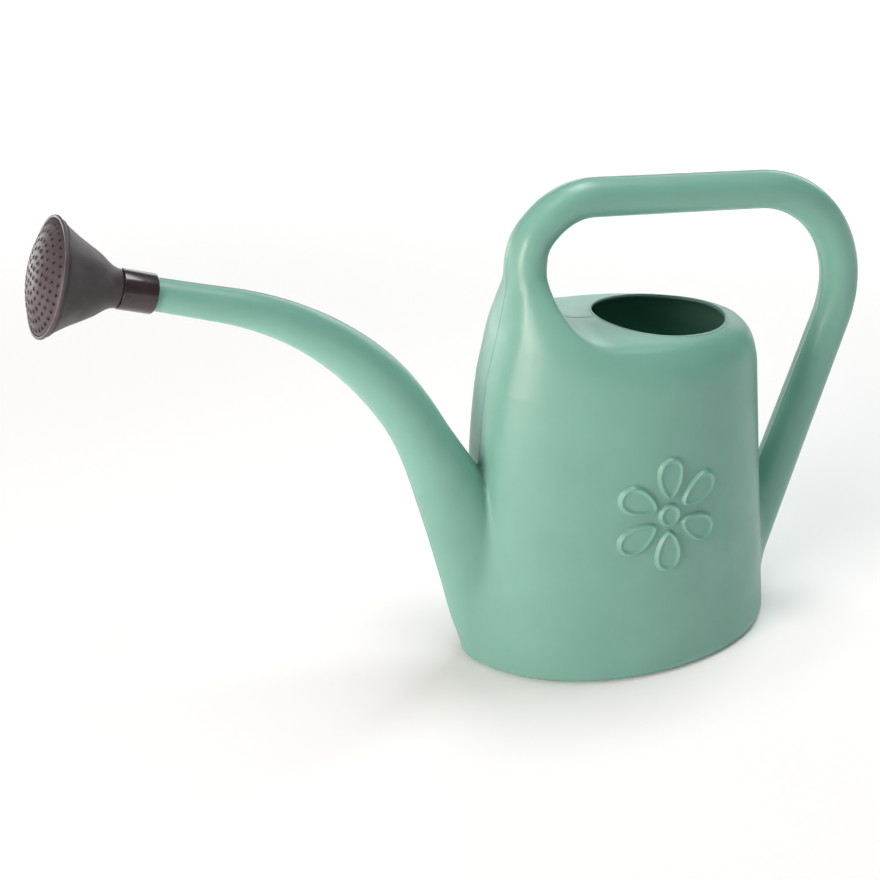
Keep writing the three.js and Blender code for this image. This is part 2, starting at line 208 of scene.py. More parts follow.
class BentPath:
    """A centreline of straights and bends in the middle plane, as a bent tube has."""

    def __init__(self, x: float, z: float, heading: float) -> None:
        """Starts the path at a place, going a way given in degrees."""
        self.runs: list[Run] = []
        self.x, self.z, self.heading, self.length = x, z, math.radians(heading), 0.0

    def run(self, length: float, turn: float = 0.0) -> "BentPath":
        """Adds a straight, or a bend that turns by an angle in radians.

        Args:
            length: of the run along its centreline.
            turn: the angle, positive to the left, or 0 for a straight.

        Returns:
            The path itself.
        """
        piece = Run(self.x, self.z, self.heading, length, turn, self.length)
        self.runs.append(piece)
        self.x, self.z, self.heading = piece.end()
        self.length += length
        return self

    def bend(self, radius: float, degrees: float) -> "BentPath":
        """Adds a bend of that radius, to the left where the angle is positive."""
        return self.run(radius * abs(math.radians(degrees)), math.radians(degrees))

    def straight_then_bend_to(self, radius: float, heading: float, x: float, z: float) -> "BentPath":
        """Adds a straight just long enough for the bend after it to end on a line.

        Args:
            radius: of the bend.
            heading: of the line, in degrees.
            x, z: a point on the line.

        Returns:
            The path itself.
        """
        turn = math.radians(heading) - self.heading
        ex, ez, _ = Run(self.x, self.z, self.heading, radius * abs(turn), turn, 0.0).end()
        nx, nz = -math.sin(math.radians(heading)), math.cos(math.radians(heading))
        gain = nx * math.cos(self.heading) + nz * math.sin(self.heading)
        self.run((nx * (x - ex) + nz * (z - ez)) / gain)
        return self.run(radius * abs(turn), turn)

    def nearest(self, x: Array, z: Array) -> tuple[Array, Array, Array]:
        """For each point the length along the path, the distance to its left, and past an end.

        Args:
            x, z: the points, in the middle plane.

        Returns:
            The three distances of each point.
        """
        best = np.full(x.shape, np.inf)
        along, side, past = np.zeros_like(x), np.zeros_like(x), np.zeros_like(x)
        for piece in self.runs:
            near, left, over = piece.nearest(x, z)
            gap = np.hypot(left, over)
            closer = gap < best
            best = np.where(closer, gap, best)
            along = np.where(closer, piece.begins + near, along)
            side = np.where(closer, left, side)
            past = np.where(closer, over, past)
        return along, side, past


def gradient(form: Field, points: Array, reach: float = 0.04) -> Array:
    """The slope of a field at each point.

    Args:
        form: the field.
        points: places, one in a row.
        reach: how far to each side of a point the field is read.

    Returns:
        One slope in a row for each point.
    """
    slope = np.empty_like(points)
    for axis in range(3):
        step = np.zeros(3)
        step[axis] = reach
        slope[:, axis] = (form(points + step) - form(points - step)) / (2 * reach)
    return slope


def settled(form: Field, points: Array, steps: int = 4) -> Array:
    """The points moved onto the surface where a field is zero.

    Args:
        form: the field.
        points: places near the surface, one in a row.
        steps: how often each point is moved.

    Returns:
        The moved points.
    """
    points = points.copy()
    for _ in range(steps):
        slope = gradient(form, points)
        steep = np.maximum((slope * slope).sum(1), LEAST_STEEP)
        move = np.clip(form(points) / np.sqrt(steep), -LONGEST_MOVE, LONGEST_MOVE) / np.sqrt(steep)
        points -= slope * move[:, None]
    return points


def clear_chequers(value: Array) -> None:
    """Turns the faintest sample of each grid face whose corners alternate in and out.

    Two sheets would share an edge there, and the net would not be a closed solid's.

    Args:
        value: the field's samples on the grid, which are changed in place.
    """
    for _ in range(CHEQUER_ROUNDS):
        found = False
        for i, j in ((0, 1), (0, 2), (1, 2)):
            corners = []
            for a in (0, 1):
                for b in (0, 1):
                    part = [slice(None)] * 3
                    part[i] = slice(a, value.shape[i] - 1 + a)
                    part[j] = slice(b, value.shape[j] - 1 + b)
                    corners.append(value[tuple(part)])
            signs = [c < 0 for c in corners]
            mixed = (signs[0] == signs[3]) & (signs[1] == signs[2]) & (signs[0] != signs[1])
            for spot in np.argwhere(mixed):
                found = True
                around = []
                for a in (0, 1):
                    for b in (0, 1):
                        sample = spot.copy()
                        sample[i] += a
                        sample[j] += b
                        around.append(tuple(sample))
                faintest = min(around, key=lambda sample: abs(value[sample]))
                value[faintest] = NUDGE if value[faintest] < 0 else -NUDGE
        if not found:
            return


def skin(form: Field, low: Point, high: Point, pitch: float) -> tuple[Array, Array]:
    """Nets the surface of a field with quads, one point in each cell that it crosses.

    Args:
        form: the field, negative inside.
        low, high: corners of the box to look in.
        pitch: size of a cell.

    Returns:
        The points and the quads, which face outwards.
    """
    axes = [np.arange(a, b + pitch, pitch) for a, b in zip(low, high)]
    grid = np.stack(np.meshgrid(*axes, indexing="ij"), -1)
    value = form(grid.reshape(-1, 3)).reshape(grid.shape[:3])
    clear_chequers(value)
    inside = value < 0
    cells = tuple(n - 1 for n in value.shape)
    total, count = np.zeros(cells + (3,)), np.zeros(cells)
    for axis in range(3):
        others = [k for k in range(3) if k != axis]
        first, second = [slice(None)] * 3, [slice(None)] * 3
        first[axis], second[axis] = slice(0, -1), slice(1, None)
        a, b = value[tuple(first)], value[tuple(second)]
        crosses = inside[tuple(first)] != inside[tuple(second)]
        share = np.where(crosses, a / np.where(crosses, a - b, 1.0), 0.0)
        at = mix(grid[tuple(first)], grid[tuple(second)], share[..., None])
        for i in (0, 1):
            for j in (0, 1):
                part = [slice(None)] * 3
                part[others[0]] = slice(i, i + cells[others[0]])
                part[others[1]] = slice(j, j + cells[others[1]])
                hit = crosses[tuple(part)]
                total += np.where(hit[..., None], at[tuple(part)], 0.0)
                count += hit
    used = count > 0
    index = np.full(cells, -1)
    index[used] = np.arange(used.sum())
    quads = []
    for axis in range(3):
        others = [k for k in range(3) if k != axis]
        first, second = [slice(1, -1)] * 3, [slice(1, -1)] * 3
        first[axis], second[axis] = slice(0, -1), slice(1, None)
        before, after = inside[tuple(first)], inside[tuple(second)]
        edge = np.argwhere(before != after)
        leaving = before[tuple(edge.T)]
        edge[:, others] += 1
        ring = []
        for i, j in ((1, 1), (0, 1), (0, 0), (1, 0)):
            cell = edge.copy()
            cell[:, others[0]] -= i
            cell[:, others[1]] -= j
            ring.append(index[tuple(cell.T)])
        quad = np.stack(ring, 1)
        if axis == 1:
            quad = quad[:, ::-1]
        quads.append(np.where(leaving[:, None], quad, quad[:, ::-1]))
    return total[used] / count[used][:, None], np.concatenate(quads)


def evened(form: Field, points: Array, quads: Array, rounds: int = 2) -> Array:
    """The points drawn towards the middle of their neighbours, and kept on the surface.

    Args:
        form: the field that the surface belongs to.
        points: the net's points.
        quads: the net's quads.
        rounds: how often the points are drawn.

    Returns:
        The evened points.
    """
    edges = np.concatenate([quads[:, [i, (i + 1) % 4]] for i in range(4)])
    for _ in range(rounds):
        total, count = np.zeros_like(points), np.zeros(len(points))
        np.add.at(total, edges[:, 0], points[edges[:, 1]])
        np.add.at(count, edges[:, 0], 1.0)
        middle = total / np.maximum(count, 1.0)[:, None]
        points = settled(form, mix(points, middle, 0.5), 2)
    return points


# ---------------------------------------------------------------- meshes and materials


def mesh_object(name: str, points: Array, faces: Any) -> bpy.types.Object:
    """An object made from points and faces, linked to the scene.

    Args:
        name: of the object and its mesh.
        points: places, one in a row.
        faces: the points of each face.

    Returns:
        The object.
    """
    mesh = bpy.data.meshes.new(name)
    listed = faces.tolist() if isinstance(faces, np.ndarray) else faces
    mesh.from_pydata(points.tolist(), [], listed)
    mesh.update()
    made = bpy.data.objects.new(name, mesh)
    bpy.context.scene.collection.objects.link(made)
    return made


def applied(made: bpy.types.Object) -> None:
    """Turns what an object's modifiers make into its own plain mesh.

    Args:
        made: the object, which ends without modifiers.
    """
    graph = bpy.context.evaluated_depsgraph_get()
    result = bpy.data.meshes.new_from_object(made.evaluated_get(graph))
    old = made.data
    made.modifiers.clear()
    made.data = result
    result.name = made.name
    bpy.data.meshes.remove(old)


def carve(made: bpy.types.Object, cutter: bpy.types.Object) -> None:
    """Cuts one closed mesh out of another and removes the cutter.

    Args:
        made: the piece that is cut.
        cutter: the shape that is taken away.
    """
    cut = made.modifiers.new("cut", "BOOLEAN")
    cut.operation, cut.solver, cut.object = "DIFFERENCE", "MANIFOLD", cutter
    before = len(made.data.polygons)
    applied(made)
    log.info("%s: %d faces before a cut, %d after", made.name, before, len(made.data.polygons))
    bpy.data.objects.remove(cutter)


def positions(mesh: bpy.types.Mesh) -> Array:
    """The places of a mesh's points.

    Args:
        mesh: the mesh.

    Returns:
        The places, one in a row.
    """
    flat = np.empty(len(mesh.vertices) * 3, np.float32)
    mesh.vertices.foreach_get("co", flat)
    return flat.reshape(-1, 3).astype(float)


def place(mesh: bpy.types.Mesh, points: Array) -> None:
    """Puts a mesh's points at new places."""
    mesh.vertices.foreach_set("co", points.astype(np.float32).ravel())
    mesh.update()


def softened(corners: list[tuple[float, float, float]], steps: int = 4) -> list[tuple[float, float]]:
    """A closed outline with its corners rounded.

    Args:
        corners: radius, place along and rounding of each corner.
        steps: points on each rounding.

    Returns:
        The outline's points as radius and place along.
    """
    outline = []
    for i, (r, s, rounding) in enumerate(corners):
        if rounding <= 0:
            outline.append((r, s))
            continue
        here = np.array((r, s))
        before = np.array(corners[i - 1][:2]) - here
        after = np.array(corners[(i + 1) % len(corners)][:2]) - here
        start = here + before / np.linalg.norm(before) * rounding
        stop = here + after / np.linalg.norm(after) * rounding
        for t in np.linspace(0, 1, steps + 1):
            outline.append(tuple((1 - t) ** 2 * start + 2 * t * (1 - t) * here + t * t * stop))
    return outline


def revolved(outline: list[tuple[float, float]], sides: int) -> tuple[Array, list[tuple[int, ...]]]:
    """Points and faces of an outline turned once round the Z axis.

    Args:
        outline: radius and place along of each point of a closed outline. A point at radius 0 is a pole.
        sides: steps round the axis.

    Returns:
        The points, and faces that close the body.
    """
    points, rows = [], []
    for r, s in outline:
        if r < 1e-6:
            rows.append([len(points)] * sides)
            points.append((0.0, 0.0, s))
        else:
            rows.append(list(range(len(points), len(points) + sides)))
            angles = np.arange(sides) * 2 * math.pi / sides
            points.extend(zip(r * np.cos(angles), r * np.sin(angles), np.full(sides, s)))
    faces = []
    for row, after in zip(rows, rows[1:] + rows[:1]):
        for i in range(sides):
            j = (i + 1) % sides
            face = tuple(dict.fromkeys((row[i], row[j], after[j], after[i])))
            if len(face) > 2:
                faces.append(face)
    return np.array(points), faces


def outward(made: bpy.types.Object) -> None:
    """Turns every face of a closed mesh outwards.

    Args:
        made: the piece with the mesh.
    """
    work = bmesh.new()
    work.from_mesh(made.data)
    bmesh.ops.remove_doubles(work, verts=work.verts, dist=1e-5)
    bmesh.ops.recalc_face_normals(work, faces=work.faces)
    work.to_mesh(made.data)
    work.free()


def shade(made: bpy.types.Object, sharp_degrees: float = 32.0) -> None:
    """Smooth shading, but for edges sharper than an angle."""
    made.data.shade_smooth()
    made.data.set_sharp_from_angle(angle=math.radians(sharp_degrees))


def linear(code: str) -> tuple[float, float, float, float]:
    """An sRGB colour, written as six hex digits, as the linear colour that a shader takes.

    Args:
        code: the six hex digits.

    Returns:
        Red, green, blue and an alpha of 1.
    """
    parts = [int(code[i : i + 2], 16) / 255 for i in (0, 2, 4)]
    r, g, b = [p / 12.92 if p <= 0.04045 else ((p + 0.055) / 1.055) ** 2.4 for p in parts]
    return r, g, b, 1.0


def per_metre(millimetres: float) -> float:
    """The scale that gives a pattern on Object coordinates features of that size."""
    return 1.0 / (millimetres * MM)


def add(
    tree: Any, kind: str, settings: dict[str, Any] | None = None, links: dict[Any, Any] | None = None
) -> Any:
    """Adds a node to a tree.

    Args:
        tree: the node tree.
        kind: the node's type.
        settings: the node's own properties.
        links: for each input, by name or number, a value or an output to join to it.

    Returns:
        The node.
    """
    made = tree.nodes.new(kind)
    for name, value in (settings or {}).items():
        setattr(made, name, value)
    for name, value in (links or {}).items():
        if isinstance(value, bpy.types.NodeSocket):
            tree.links.new(value, made.inputs[name])
        else:
            made.inputs[name].default_value = value
    return made


@dataclass(frozen=True)
class Plastic:
    """A moulded plastic with a fine grain, soft waves and a slightly uneven colour and gloss."""

    name: str
    slot: str
    light: str
    dark: str
    roughness: tuple[float, float]
    ior: float
    grain_mm: float
    grain_depth_mm: float
    wave_mm: float
    wave_depth_mm: float
    cloud_mm: float
    streak_share: float = 0.0
    streak_mm: tuple[float, float, float] = (2.2, 2.2, 60.0)
    coat: float = 0.0
    coat_roughness: float = 0.12
    glow: float = 0.0
    glow_depth_mm: float = 4.0
    glow_share: tuple[float, float, float] = (0.7, 1.0, 0.9)
    gleam: float = 0.5

    def material(self) -> bpy.types.Material:
        """The material, which is made the first time it is asked for."""
        return bpy.data.materials.get(self.name) or self.made()

    def made(self) -> bpy.types.Material:
        """The material, with its patterns on Object coordinates.

        Returns:
            The new material.
        """
        material = bpy.data.materials.new(self.name)
        material.use_nodes = True
        tree = material.node_tree
        tree.nodes.clear()
        where = add(tree, "ShaderNodeTexCoord").outputs["Object"]
        clouds = add(
            tree,
            "ShaderNodeTexNoise",
            None,
            {"Vector": where, "Scale": per_metre(self.cloud_mm), "Detail": 3.0, "Roughness": 0.55},
        ).outputs["Fac"]
        drawn = add(
            tree,
            "ShaderNodeMapping",
            None,
            {"Vector": where, "Scale": tuple(per_metre(size) for size in self.streak_mm)},
        ).outputs["Vector"]
        streaks = add(
            tree, "ShaderNodeTexNoise", None, {"Vector": drawn, "Scale": 1.0, "Detail": 2.0}
        ).outputs["Fac"]
        uneven = add(
            tree,
            "ShaderNodeMix",
            {"data_type": "FLOAT"},
            {0: self.streak_share, 2: clouds, 3: streaks},
        ).outputs[0]
        spread = add(
            tree,
            "ShaderNodeMapRange",
            None,
            {"Value": uneven, "From Min": 0.32, "From Max": 0.68, "To Min": 0.0, "To Max": 1.0},
        ).outputs["Result"]
        colour = add(
            tree,
            "ShaderNodeMix",
            {"data_type": "RGBA"},
            {0: spread, 6: linear(self.light), 7: linear(self.dark)},
        ).outputs[2]
        gloss = add(
            tree,
            "ShaderNodeMapRange",
            None,
            {
                "Value": uneven,
                "From Min": 0.3,
                "From Max": 0.7,
                "To Min": self.roughness[0],
                "To Max": self.roughness[1],
            },
        ).outputs["Result"]
        grain = add(
            tree,
            "ShaderNodeTexNoise",
            None,
            {"Vector": where, "Scale": per_metre(self.grain_mm), "Detail": 3.0, "Roughness": 0.6},
        ).outputs["Fac"]
        waves = add(
            tree,
            "ShaderNodeTexNoise",
            None,
            {"Vector": where, "Scale": per_metre(self.wave_mm), "Detail": 1.0},
        ).outputs["Fac"]
        wavy = add(
            tree,
            "ShaderNodeBump",
            None,
            {"Height": waves, "Distance": self.wave_depth_mm * MM, "Strength": 1.0},
        ).outputs["Normal"]
        grainy = add(
            tree,
            "ShaderNodeBump",
            None,
            {"Height": grain, "Distance": self.grain_depth_mm * MM, "Strength": 1.0, "Normal": wavy},
        ).outputs["Normal"]
        surface = add(
            tree,
            "ShaderNodeBsdfPrincipled",
            None,
            {
                "Base Color": colour,
                "Roughness": gloss,
                "Normal": grainy,
                "IOR": self.ior,
                "Specular IOR Level": self.gleam,
                "Coat Weight": self.coat,
                "Coat Roughness": self.coat_roughness,
                "Subsurface Weight": self.glow,
                "Subsurface Radius": self.glow_share,
                "Subsurface Scale": self.glow_depth_mm * MM,
            },
        ).outputs["BSDF"]
        add(tree, "ShaderNodeOutputMaterial", None, {"Surface": surface})
        return material


# High-density polyethylene, blow-moulded: satin, faintly waxy, with an orange-peel skin and soft
# waves from the mould that break the highlights up.
CAN_PLASTIC = Plastic(
    name="hdpe_blow_moulded_teal",
    slot="can_plastic",
    light="79B1A0",
    dark="75AB9B",
    roughness=(0.32, 0.42),
    ior=1.54,
    grain_mm=1.3,
    grain_depth_mm=0.05,
    wave_mm=16.0,
    wave_depth_mm=0.35,
    cloud_mm=40.0,
    streak_share=0.12,
    glow=0.3,
)

# Polypropylene, injection-moulded in a dark brown grey: dull satin with a fine even grain.
ROSE_PLASTIC = Plastic(
    name="polypropylene_moulded_brown_grey",
    slot="rose_plastic",
    light="4B4547",
    dark="3F393B",
    roughness=(0.4, 0.5),
    ior=1.46,
    grain_mm=0.9,
    grain_depth_mm=0.03,
    wave_mm=9.0,
    wave_depth_mm=0.12,
    cloud_mm=12.0,
    gleam=0.35,
)

# The same polypropylene from a polished core: darker and glossier, so it shows a clean streak.
COLLAR_PLASTIC = Plastic(
    name="polypropylene_polished_dark_brown",
    slot="collar_plastic",
    light="352B2D",
    dark="2B2224",
    roughness=(0.2, 0.28),
    ior=1.49,
    grain_mm=1.4,
    grain_depth_mm=0.01,
    wave_mm=8.0,
    wave_depth_mm=0.06,
    cloud_mm=10.0,
    coat=0.25,
)


def dress(made: bpy.types.Object, finish: Plastic) -> None:
    """Gives a piece its material, in one slot for all its faces.

    Args:
        made: the piece.
        finish: its plastic.
    """
    made.data.materials.clear()
    made.data.materials.append(finish.material())
    made.data.polygons.foreach_set("material_index", np.zeros(len(made.data.polygons), np.int32))


class Body(Enum):
    """The bodies of the model that pieces ride on."""

    CAN = "can"
    COLLAR = "collar"
    ROSE_HEAD = "rose_head"


def hand_over(made: bpy.types.Object, body: Body, finish: Plastic, *nodes: str) -> None:
    """Brings a finished piece to metres, and says what it rides on and stands for.

    Args:
        made: the piece, in millimetres.
        body: the body it moves with.
        finish: its plastic.
        nodes: the model's nodes that it stands for.
    """
    made.data.transform(Matrix.Scale(MM, 4))
    dress(made, finish)
    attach(made, body.value)
    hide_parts(*nodes)
    log.info("%s: %d faces, rides on %s", made.name, len(made.data.polygons), body.value)


# ---------------------------------------------------------------- the can


@dataclass(frozen=True)
class Tank:
    """The oval body, its sloping deck, and the flare that rises from it into the front leg."""

    half_length: float = 110.0
    half_width: float = 71.5
    base_edge: float = 8.0
    front_draw_in: float = 11.0
    front_curve: float = 5.0
    back_draw_in: float = 24.5
    side_draw_in: float = 11.3
    nose: float = 2.6
    nose_edge: float = 5.0
    height: float = 229.0
    deck_slope: float = 4.9
    deck_crown: float = 300.0
    shoulder: float = 31.0
    deck_edge: float = 2.2
    deck_sunk: float = 4.5
    sunk_between: tuple[float, float] = (-10.0, 75.0)
    leg_from: float = 226.0
    leg_to: float = 288.0
    leg_half: float = 12.0
    leg_round: float = 24.0
    leg_sweep: float = 56.0
    leg_foot: float = 32.0
    front: Sizes = Sizes((200, 229, 245, 262, 280, 300), (-104.4, -98.0, -94.0, -90.4, -87.0, -80.0))
    inner: Sizes = Sizes((228, 262, 300), (-66.0, -67.0, -64.0))

    def oval(self, z: Array) -> tuple[Array, Array, Array]:
        """Half length, half width and middle of the body's oval at a height.

        Args:
            z: heights above the base.

        Returns:
            The three sizes at each height.
        """
        share = np.clip(z / self.height, 0.0, 1.2)
        front = -self.half_length + self.front_draw_in * share**self.front_curve
        back = self.half_length - self.back_draw_in * share
        return (back - front) / 2, self.half_width - self.side_draw_in * share, (front + back) / 2

    def deck(self, x: Array, y: Array) -> Array:
        """Height of the deck, which falls to the rear and is slightly crowned across."""
        return self.height - math.tan(math.radians(self.deck_slope)) * x - y * y / (2 * self.deck_crown)

    def distance(self, p: Array) -> Array:
        """The field of the body with its flare.

        Args:
            p: points, one in a row.

        Returns:
            About the distance to the body's surface, negative inside.
        """
        x, y, z = p.T
        half, wide, middle = self.oval(z)
        rise = ease(z, self.leg_from, self.leg_to)
        front = np.where(z > self.front.places[0], self.front.at(z), middle - half)
        half, wide = mix(half, self.leg_half, rise), mix(wide, self.leg_half, rise)
        side = ellipse_distance(x - front - half, y, half, wide, np.maximum(z - self.leg_to, 0.0))
        side = smooth_max(side, front + self.nose - x, self.nose_edge)
        top = z - self.deck(x, y)
        inner = x - self.inner.at(z)
        sunk = self.deck_sunk * (1.0 - ease(x, *self.sunk_between))
        roof = smooth_min(top - sunk, inner, self.leg_sweep)
        form = smooth_max(side, roof, mix(self.shoulder, self.leg_round, rise))
        floor = smooth_min(top, inner, self.leg_foot)
        return smooth_max(form, floor, self.deck_edge)


@dataclass(frozen=True)
class Handle:
    """The hollow handle: back leg, bend, grip, bend, and the top of the front leg."""

    set_in: float = 16.0
    root_height: float = 11.0
    lean: float = 71.9
    back_bend: float = 76.0
    grip_rise: float = 78.0
    grip_slope: float = 5.3
    front_bend: float = 43.0
    front_lean: float = 84.6
    front_set_in: float = 17.7
    blend: float = 9.0
    run_into_leg: float = 30.0
    radius: Sizes = Sizes((0, 198, 338, 450, 490, 513, 535), (15.0, 12.8, 12.2, 12.2, 12.5, 11.5, 7.0))

    def path(self, tank: Tank) -> BentPath:
        """The centreline, from inside the back wall to inside the front leg.

        Args:
            tank: the tank that the handle stands on.

        Returns:
            The path.
        """
        half, _, middle = tank.oval(self.root_height)
        top_half, _, top_middle = tank.oval(tank.height)
        path = BentPath(middle + half - self.set_in, self.root_height, self.lean)
        path.straight_then_bend_to(self.back_bend, 180 - self.grip_slope, 0.0, tank.height + self.grip_rise)
        leg_x = top_middle - top_half + self.front_set_in
        path.straight_then_bend_to(self.front_bend, 180 + self.front_lean, leg_x, tank.height)
        return path.run(self.run_into_leg)


@dataclass(frozen=True)
class Spout:
    """The spout: a broad root on the body's front, a long bend, and a spigot for the rose."""

    set_in: float = 31.6
    root_height: float = 6.0
    lean: float = 108.0
    low_bend: tuple[float, float] = (1277.0, 8.2)
    neck_bend: tuple[float, float] = (203.2, 45.6)
    neck: float = 43.3
    overrun: float = 12.0
    blend: float = 2.0
    root_blend: float = 15.0
    blend_between: tuple[float, float] = (20.0, 150.0)
    deep: Sizes = Sizes(
        (0, 34, 69, 104, 154, 204, 264, 314, 354, 404),
        (9.5, 10.1, 11.4, 13.1, 15.7, 17.2, 24.4, 30.6, 34.3, 33.0),
    )
    wide: Sizes = Sizes(
        (0, 34, 69, 104, 154, 204, 264, 314, 354, 404),
        (9.5, 10.1, 11.4, 13.1, 15.6, 16.8, 17.5, 18.5, 20.5, 23.0),
    )
    spigot_radius: float = 8.6
    spigot_bore: float = 6.6
    spigot_length: float = 11.0
    spigot_root: float = 6.0

    def path(self, tank: Tank) -> BentPath:
        """The centreline, from inside the body to the point where the collar starts.

        Args:
            tank: the tank that the spout stands on.

        Returns:
            The path.
        """
        half, _, middle = tank.oval(self.root_height)
        path = BentPath(middle - half + self.set_in, self.root_height, self.lean)
        path.bend(*self.low_bend).bend(*self.neck_bend).run(self.neck)
        return path

    def frame(self, tank: Tank) -> Matrix:
        """Where the collar starts, with Z running out of the spout.

        Args:
            tank: the tank that the spout stands on.

        Returns:
            The place and direction as a matrix.
        """
        path = self.path(tank)
        out = Vector((math.cos(path.heading), 0.0, math.sin(path.heading)))
        turn = out.to_track_quat("Z", "Y").to_matrix().to_4x4()
        return Matrix.Translation((path.x, 0.0, path.z)) @ turn


@dataclass(frozen=True)
class Blossom:
    """A plain six-petal flower that stands out from the near side of the body."""

    x: float = -4.0
    z: float = 117.5
    petals: int = 6
    petal_start: float = 10.5
    petal_length: float = 29.5
    petal_width: float = 25.0
    eye_radius: float = 8.5
    raised: float = 1.3
    rim_raised: float = 1.2
    rim_width: float = 1.5
    edge: float = 2.0
    blunt: float = 0.78
    flare: float = 0.22
    margin: float = 3.0
    side: float = -10.0

    def reach(self) -> float:
        """How far from the middle the relief goes."""
        return self.petal_start + self.petal_length + self.margin

    def inset(self, u: Array, v: Array) -> Array:
        """How far inside the nearest petal or the eye a place is, negative outside.

        Args:
            u, v: places beside and above the flower's middle.

        Returns:
            The distance at each place.
        """
        best = self.eye_radius - np.hypot(u, v)
        half = self.petal_length / 2
        for i in range(self.petals):
            turn = math.pi / 2 + 2 * math.pi * i / self.petals
            along = u * math.cos(turn) + v * math.sin(turn) - self.petal_start - half
            across = v * math.cos(turn) - u * math.sin(turn)
            broad = self.petal_width / 2 * (self.blunt + self.flare * np.clip(along / half, -1.2, 1.2))
            best = np.maximum(best, -ellipse_distance(along, across, half, broad))
        return best

    def height(self, p: Array) -> Array:
        """How far the relief lifts the skin at each point.

        Args:
            p: points, one in a row.

        Returns:
            The lift at each point.
        """
        u, v = p[:, 0] - self.x, p[:, 2] - self.z
        lift = np.zeros(len(p))
        near = (np.hypot(u, v) < self.reach()) & (p[:, 1] < self.side)
        if near.any():
            inset = self.inset(u[near], v[near])
            plateau = ease(inset, 0.0, self.edge) * self.raised
            rim = np.exp(-(((inset - self.edge) / self.rim_width) ** 2)) * self.rim_raised
            lift[near] = plateau + rim * ease(inset, -0.2, self.edge)
        return lift


